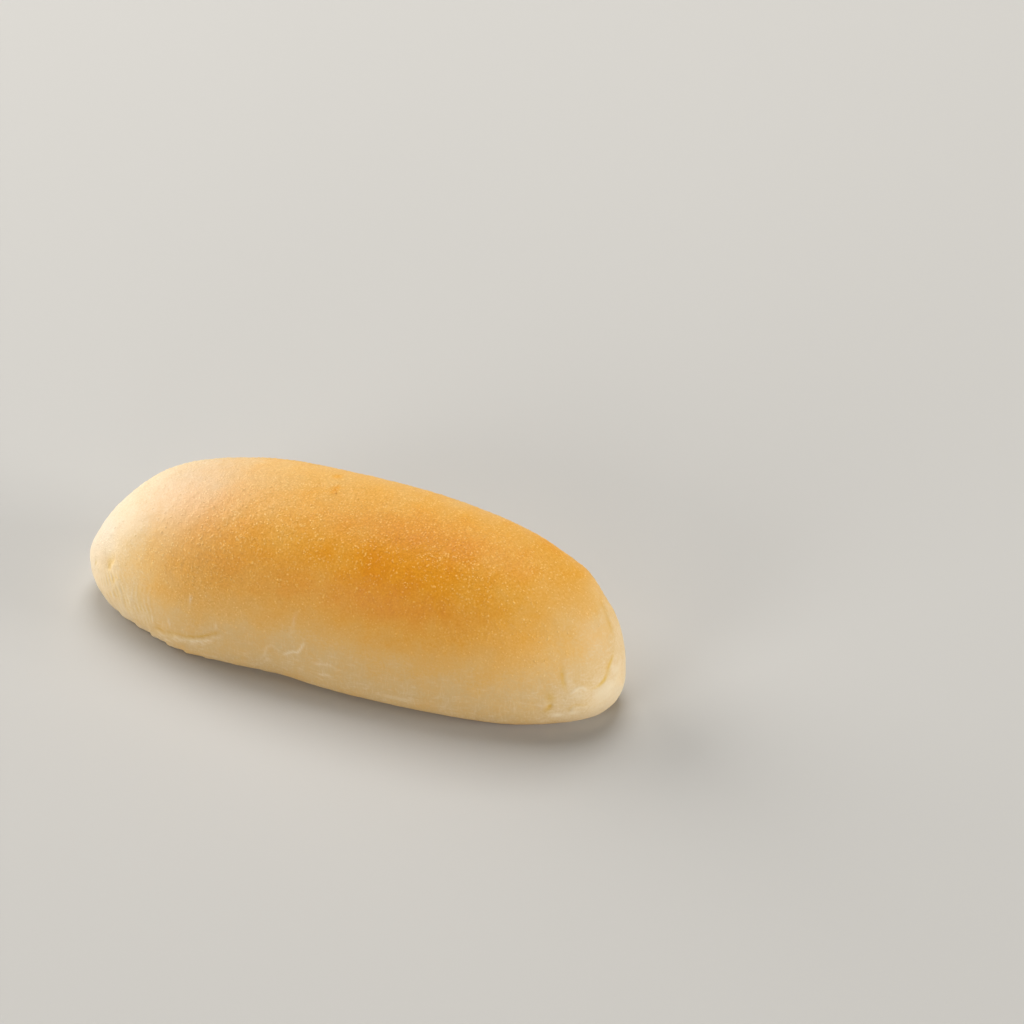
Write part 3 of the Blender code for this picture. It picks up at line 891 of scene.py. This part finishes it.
@dataclass
class Blisters:
    """Tiny raised blisters of the browned skin, each a low closed dome that runs out
    smoothly into the crust. Sizes are in mm."""

    crust: Crust
    count: int = 7000
    radius_mm: Pair = (0.24, 0.52)
    height_share: Pair = (0.18, 0.34)
    paler: Pair = (0.30, 0.95)
    skew: float = 2.5  # how rare the largest and the palest ones are
    stretch: Pair = (0.8, 1.25)
    # Where they stand: how likely on bare skin, and from which to which browning and
    # pebbling they fill up.
    bare: float = 0.05
    browned: Pair = (0.0, 0.30)
    pebbled: Pair = (0.10, 0.50)
    clear_of_base_mm: float = 2.5
    # Shares of the radius, the height and the paler colour at each ring, apex to foot.
    rings: tuple[Triple, ...] = (
        (0.0, 1.0, 1.0), (0.42, 0.72, 0.75), (0.72, 0.25, 0.25), (1.0, -0.10, 0.0))
    sides: int = 5
    sharp_deg: float = 80.0
    seed: int = 51

    def spots(self, draw: np.random.RandomState) -> tuple[Array, Array, Array]:
        """Places for the blisters, drawn over the crust by area and browning.

        Args:
            draw: the seeded draw.

        Returns:
            Places, outward directions and numbers of the crust's grid cells, one for
            each blister.
        """
        grid = self.crust.surface
        corner, up, right = grid[:-1, :-1], grid[1:, :-1], grid[:-1, 1:]
        along, around = up - corner, right - corner
        normal = np.cross(around, along)
        area = np.linalg.norm(normal, axis=-1)
        fields = {name: values[:-1, :-1] for name, values in self.crust.surface_fields.items()}
        weight = area * (self.bare + smoothstep(fields["browning"], *self.browned))
        weight *= fields["pebble"] * smoothstep(fields["pebble"], *self.pebbled)
        weight *= corner[..., 2] > self.clear_of_base_mm * MM
        pick = draw.choice(area.size, self.count, p=(weight / weight.sum()).ravel())
        share = draw.uniform(size=(2, self.count, 1))
        flat = [a.reshape(-1, 3)[pick] for a in (corner, along, around)]
        places = flat[0] + share[0] * flat[1] + share[1] * flat[2]
        return places, unit(normal.reshape(-1, 3)[pick]), pick

    def build(self) -> bpy.types.Object:
        """Make all blisters as one mesh.

        Each dome falls from its apex over two rings to a foot ring just inside the crust,
        closed by a flat underside. Its colour is the crust's at the foot and paler at the
        apex, most so where the skin is pebbled.

        Returns:
            The piece.
        """
        draw = np.random.RandomState(self.seed)
        places, normals, cells = self.spots(draw)
        low, high = self.radius_mm
        radius = MM * (low + (high - low) * draw.uniform(size=self.count) ** self.skew)
        height = radius * draw.uniform(*self.height_share, size=self.count)
        aside = unit(np.cross(normals, draw.normal(size=(self.count, 3))))
        third = np.cross(normals, aside)
        stretch = draw.uniform(*self.stretch, size=(self.count, 1))
        aside, third = aside * stretch, third / stretch

        turn = 2.0 * math.pi * np.arange(self.sides) / self.sides
        circle = np.stack([np.cos(turn), np.sin(turn)], axis=1)
        out, up, tint = np.array(self.rings).T
        plan = np.concatenate([[(0.0, 0.0)], *(share * circle for share in out[1:])])
        rise, top = (np.r_[share[0], np.repeat(share[1:], self.sides)] for share in (up, tint))
        points = (places[:, None]
                  + radius[:, None, None] * (plan[:, 0, None] * aside[:, None]
                                             + plan[:, 1, None] * third[:, None])
                  + (height[:, None] * rise)[..., None] * normals[:, None])

        here = np.arange(self.sides)
        after = (here + 1) % self.sides
        starts = [1 + self.sides * ring for ring in range(len(self.rings) - 1)]
        corners = [(0 * here, starts[0] + here, starts[0] + after)]
        for upper, lower in zip(starts, starts[1:]):
            corners += [(upper + here, lower + here, lower + after),
                        (upper + here, lower + after, upper + after)]
        faces = [np.stack(corner, axis=1) for corner in corners]
        foot = starts[-1]
        faces.append(np.stack([foot + 0 * here, foot + after, foot + here], axis=1)[1:-1])
        triangles = np.concatenate(faces) + len(plan) * np.arange(self.count)[:, None, None]

        fields = {name: np.repeat(values[:-1, :-1].ravel()[cells], len(plan))
                  for name, values in self.crust.surface_fields.items()}
        low, high = self.paler
        gain = low + (high - low) * draw.uniform(size=self.count) ** self.skew
        fields["blister"] = ((gain[:, None] * top).ravel()
                             * np.sqrt(np.minimum(fields["pebble"], 1.0)))
        piece = add_mesh("blisters", points.reshape(-1, 3), triangles.reshape(-1, 3), fields)
        piece.data.set_sharp_from_angle(angle=math.radians(self.sharp_deg))
        return piece


# ---- finishes ----
@dataclass(frozen=True)
class BakedCrust:
    """Thin soft crust of a milk bread: golden brown where the oven browned it, cream
    where it didn't. Browned sugars give a satin skin full of tiny pale blisters."""

    name: str = "baked_milk_bread_crust"
    roughness: Pair = (0.58, 0.46)  # unbrowned, browned
    specular: float = 0.25
    # Size in mm, octaves and roughness of each noise. The skin's real pores, of 0.2 mm or
    # less, are too fine to show, so grain and pores are drawn about half a mm wide.
    mottle: Triple = (4.5, 4.0, 0.5)
    grain: Triple = (0.55, 3.0, 0.5)
    pores: Triple = (0.50, 3.0, 0.6)
    mottle_share: float = 0.19  # of the browning, as the grain's is
    grain_share: float = 0.24
    stops: tuple[tuple[float, str], ...] = (
        (0.00, "#DCCBAD"), (0.20, "#DFC59A"), (0.36, "#D7B57D"), (0.52, "#DDAE63"),
        (0.76, "#E1A13B"), (0.92, "#DF9317"), (1.00, "#DB890A"))
    speck: str = "#E6A56A"  # screened over the crust's own colour
    fold: str = "#F7E8A8"  # multiplied with it
    skin: str = "#EBD7B3"
    # Colour of the painted sheen on the crown towards the broad tip.
    painted_sheen: str = "#EDD1C1"
    tray_side: str = "#B4834A"
    tray_least: float = 0.70  # share of it where the mottle leaves least
    tray_mottle: Pair = (0.35, 0.60)  # the mottle's least and full
    grain_shade: float = 0.06  # how much painted shade darkens the grain's sunken spots, and painted light lightens its raised ones
    grain_range: Pair = (0.3, 0.7)
    speck_pitch_mm: float = 0.85
    speck_share: float = 0.80
    speck_rarity: float = 2.0
    speck_reach: Pair = (0.42, 0.05)  # of the pitch: clear of it, full
    speck_height_mm: float = 0.08
    # Width and height in mm of the pale streaks on the sides, and how much they show.
    streaks: tuple[Triple, ...] = ((0.45, 3.2, 0.25), (2.4, 0.8, 0.30))
    streak_octaves: float = 2.0
    streak_range: Pair = (0.54, 0.74)
    streak_browning: Pair = (0.62, 0.30)  # at most, and where they are full
    pore_depth_mm: float = 0.12
    pore_least: float = 0.40  # share of that depth on the smooth sides

    def build(self) -> bpy.types.Material:
        """Make the material.

        Browning picks the colour on a ramp, after mottle and grain have varied it. That is
        multiplied by one plus the painted light and shade of whole patches, and by the grain's
        painted shade where it sinks and painted light where it rises, and the specks and blister
        tops are screened over it, which lightens brown and cream skin alike. Pale streaks on the
        sides, a painted sheen and pale lips are mixed over that, the folds are multiplied with a
        gold, and the tray's brown comes last.

        Returns:
            The material.
        """
        material = bpy.data.materials.new(self.name)
        material.use_nodes = True
        tree = material.node_tree
        shader = tree.nodes["Principled BSDF"]
        add = partial(add_node, tree)
        place = add("ShaderNodeTexCoord").outputs["Object"]
        marks = {name: add("ShaderNodeAttribute", attribute_name=name).outputs["Fac"]
                 for name in COLOUR_FIELDS}
        mottle, grain, pores = (
            add("ShaderNodeTexNoise", {"Vector": place, "Scale": per_metre(size),
                                       "Detail": octaves, "Roughness": rough})
            for size, octaves, rough in (self.mottle, self.grain, self.pores))

        level = marks["browning"]
        for noise, share in ((mottle, self.mottle_share), (grain, self.grain_share)):
            level = add("ShaderNodeMath", {0: noise, 1: share, 2: level},
                        operation="MULTIPLY_ADD")
        mean = 0.5 * (self.mottle_share + self.grain_share)
        level = add("ShaderNodeMath", {0: level, 1: mean}, operation="SUBTRACT")
        colour = add("ShaderNodeValToRGB", {"Fac": level}, stops=self.stops)

        # Painted shade where the grain sinks and painted light where it rises, weighted by the
        # pebbling, plus the painted light and shade of whole patches: the colour is multiplied by
        # one plus these.
        low, high = self.grain_range
        painted_grain_shade = add("ShaderNodeMapRange",
                     {"Value": grain, "From Min": low, "From Max": high,
                      "To Min": self.grain_shade, "To Max": -self.grain_shade})
        painted_light_shade = add("ShaderNodeMath", {0: painted_grain_shade, 1: marks["pebble"], 2: marks["painted_light_shade"]},
                   operation="MULTIPLY_ADD")
        shade = add("ShaderNodeMath", {0: painted_light_shade, 1: 1.0}, operation="ADD")

        specks = add("ShaderNodeTexVoronoi",
                     {"Vector": place, "Scale": per_metre(self.speck_pitch_mm)})
        clear, full = self.speck_reach
        raised = add("ShaderNodeMapRange",
                     {"Value": specks, "From Min": clear, "From Max": full},
                     interpolation_type="SMOOTHSTEP")
        chance = add("ShaderNodeSeparateColor", {"Color": specks.outputs["Color"]})
        rare = add("ShaderNodeMath", {0: chance, 1: self.speck_rarity}, operation="POWER")
        for factor in (rare, marks["pebble"]):
            raised = add("ShaderNodeMath", {0: raised, 1: factor}, operation="MULTIPLY")
        paler = add("ShaderNodeMath", {0: raised, 1: self.speck_share}, operation="MULTIPLY")
        paler = add("ShaderNodeMath", {0: paler, 1: marks["blister"]}, operation="MAXIMUM")

        # What is laid over the colour, how much of it, and Blender's name for the way.
        layers = [(shade, 1.0, "MULTIPLY"), (self.speck, paler, "SCREEN")]
        most, least = self.streak_browning
        sides = add("ShaderNodeMapRange",
                    {"Value": marks["browning"], "From Min": most, "From Max": least})
        low, high = self.streak_range
        for width, height, share in self.streaks:
            scale = [per_metre(size) for size in (width, width, height)]
            stretched = add("ShaderNodeMapping", {"Vector": place, "Scale": scale})
            streaks = add("ShaderNodeTexNoise", {"Vector": stretched, "Scale": 1.0,
                                                 "Detail": self.streak_octaves})
            thin = add("ShaderNodeMapRange", {"Value": streaks, "From Min": low,
                                              "From Max": high, "To Max": share})
            shown = add("ShaderNodeMath", {0: thin, 1: sides}, operation="MULTIPLY")
            layers.append((self.skin, shown, "MIX"))
        low, high = self.tray_mottle
        baked = add("ShaderNodeMapRange", {"Value": mottle, "From Min": low,
                                           "From Max": high, "To Min": self.tray_least})
        tray = add("ShaderNodeMath", {0: baked, 1: marks["base"]}, operation="MULTIPLY")
        # Then the pinkish painted sheen, the pale lips, the folds' gold and the tray's brown.
        layers += [(self.painted_sheen, marks["painted_sheen"], "MIX"), (self.skin, marks["pale"], "MIX"),
                   (self.fold, marks["crease"], "MULTIPLY"), (self.tray_side, tray, "MIX")]
        for top, factor, blend in layers:
            if isinstance(top, str):
                top = linear_colour(top)
            colour = add("ShaderNodeMix", {MIX_FACTOR: factor, MIX_A: colour, MIX_B: top},
                         data_type="RGBA", blend_type=blend).outputs[MIX_RESULT]

        rough, satin = self.roughness
        gloss = add("ShaderNodeMapRange", {"Value": level, "To Min": rough, "To Max": satin})
        strong = add("ShaderNodeMath", {0: marks["pebble"], 1: self.pore_least},
                     operation="MAXIMUM")
        fine = add("ShaderNodeBump", {"Height": pores, "Strength": strong,
                                      "Distance": self.pore_depth_mm * MM})
        bumps = add("ShaderNodeBump", {"Height": raised, "Strength": 1.0, "Normal": fine,
                                       "Distance": self.speck_height_mm * MM})
        tree.links.new(colour, shader.inputs["Base Color"])
        tree.links.new(gloss.outputs[0], shader.inputs["Roughness"])
        tree.links.new(bumps.outputs[0], shader.inputs["Normal"])
        shader.inputs["Specular IOR Level"].default_value = self.specular
        return material


@dataclass(frozen=True)
class Softbox:
    """A large square soft light, aimed at the bun; sizes are in metres."""

    name: str
    azimuth_deg: float
    elevation_deg: float
    size: float
    power: float
    distance: float = 2.6

    def build(self) -> None:
        """Hang the light and turn it to the bun."""
        light = bpy.data.lights.new(self.name, "AREA")
        light.size, light.energy = self.size, self.power
        hang(self.name, light, (self.azimuth_deg, self.elevation_deg), self.distance)


SOFTBOXES = (
    Softbox("window", 255, 24, 1.79, 59.7),
    Softbox("back", 200, 60, 1.46, 48.6),
    Softbox("front", 335, 15, 1.14, 31.2),
    Softbox("low_front", 20, 7, 0.57, 7.9),
    Softbox("side", 95, 11, 0.95, 51.0),
)


@dataclass(frozen=True)
class Studio:
    """A plain pale floor, soft light from the left and the back, and the camera."""

    floor_radius: float = 4.0
    floor_sides: int = 96
    floor_finish: str = "matt_painted_board"  # takes light evenly, with no gleam
    floor_colour: str = "#C4C1BB"
    floor_roughness: float = 1.0
    floor_specular: float = 0.1
    room_light: float = 0.02
    aim: Triple = (18.31 * MM, 65.81 * MM, 0.0)
    view_deg: Pair = (22.25, 37.0)  # azimuth and elevation
    distance: float = 815.0 * MM
    lens: float = 100.0
    sensor: float = 36.0

    def build(self) -> None:
        """Make the floor, the world, the lights and the camera."""
        bpy.ops.mesh.primitive_circle_add(vertices=self.floor_sides, radius=self.floor_radius,
                                          fill_type="NGON")
        floor = bpy.context.object
        floor.name = "floor"
        material = bpy.data.materials.new(self.floor_finish)
        material.use_nodes = True
        shader = material.node_tree.nodes["Principled BSDF"]
        for name, value in (("Base Color", linear_colour(self.floor_colour)),
                            ("Roughness", self.floor_roughness),
                            ("Specular IOR Level", self.floor_specular)):
            shader.inputs[name].default_value = value
        floor.data.materials.append(material)

        scene = bpy.context.scene
        scene.world = bpy.data.worlds.new("dim_room")
        scene.world.use_nodes = True
        background = scene.world.node_tree.nodes["Background"]
        background.inputs["Strength"].default_value = self.room_light
        for softbox in SOFTBOXES:
            softbox.build()

        camera = bpy.data.cameras.new("camera")
        camera.lens, camera.sensor_width = self.lens, self.sensor
        scene.camera = hang("camera", camera, self.view_deg, self.distance, self.aim)
        scene.view_settings.view_transform = "Standard"


def main() -> None:
    """Build the bun and the studio."""
    logging.basicConfig(level=logging.INFO, format="%(name)s: %(message)s")
    crust = Crust()
    skin = crust.build()
    finish = BakedCrust().build()
    domes = Blisters(crust).build()
    for piece in (skin, domes):
        piece.data.materials.append(finish)
        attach(piece, "root")
        LOG.info("%s: %d triangles", piece.name, len(piece.data.polygons))
    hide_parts("bun")
    Studio().build()


if __name__ == "__main__":
    main()
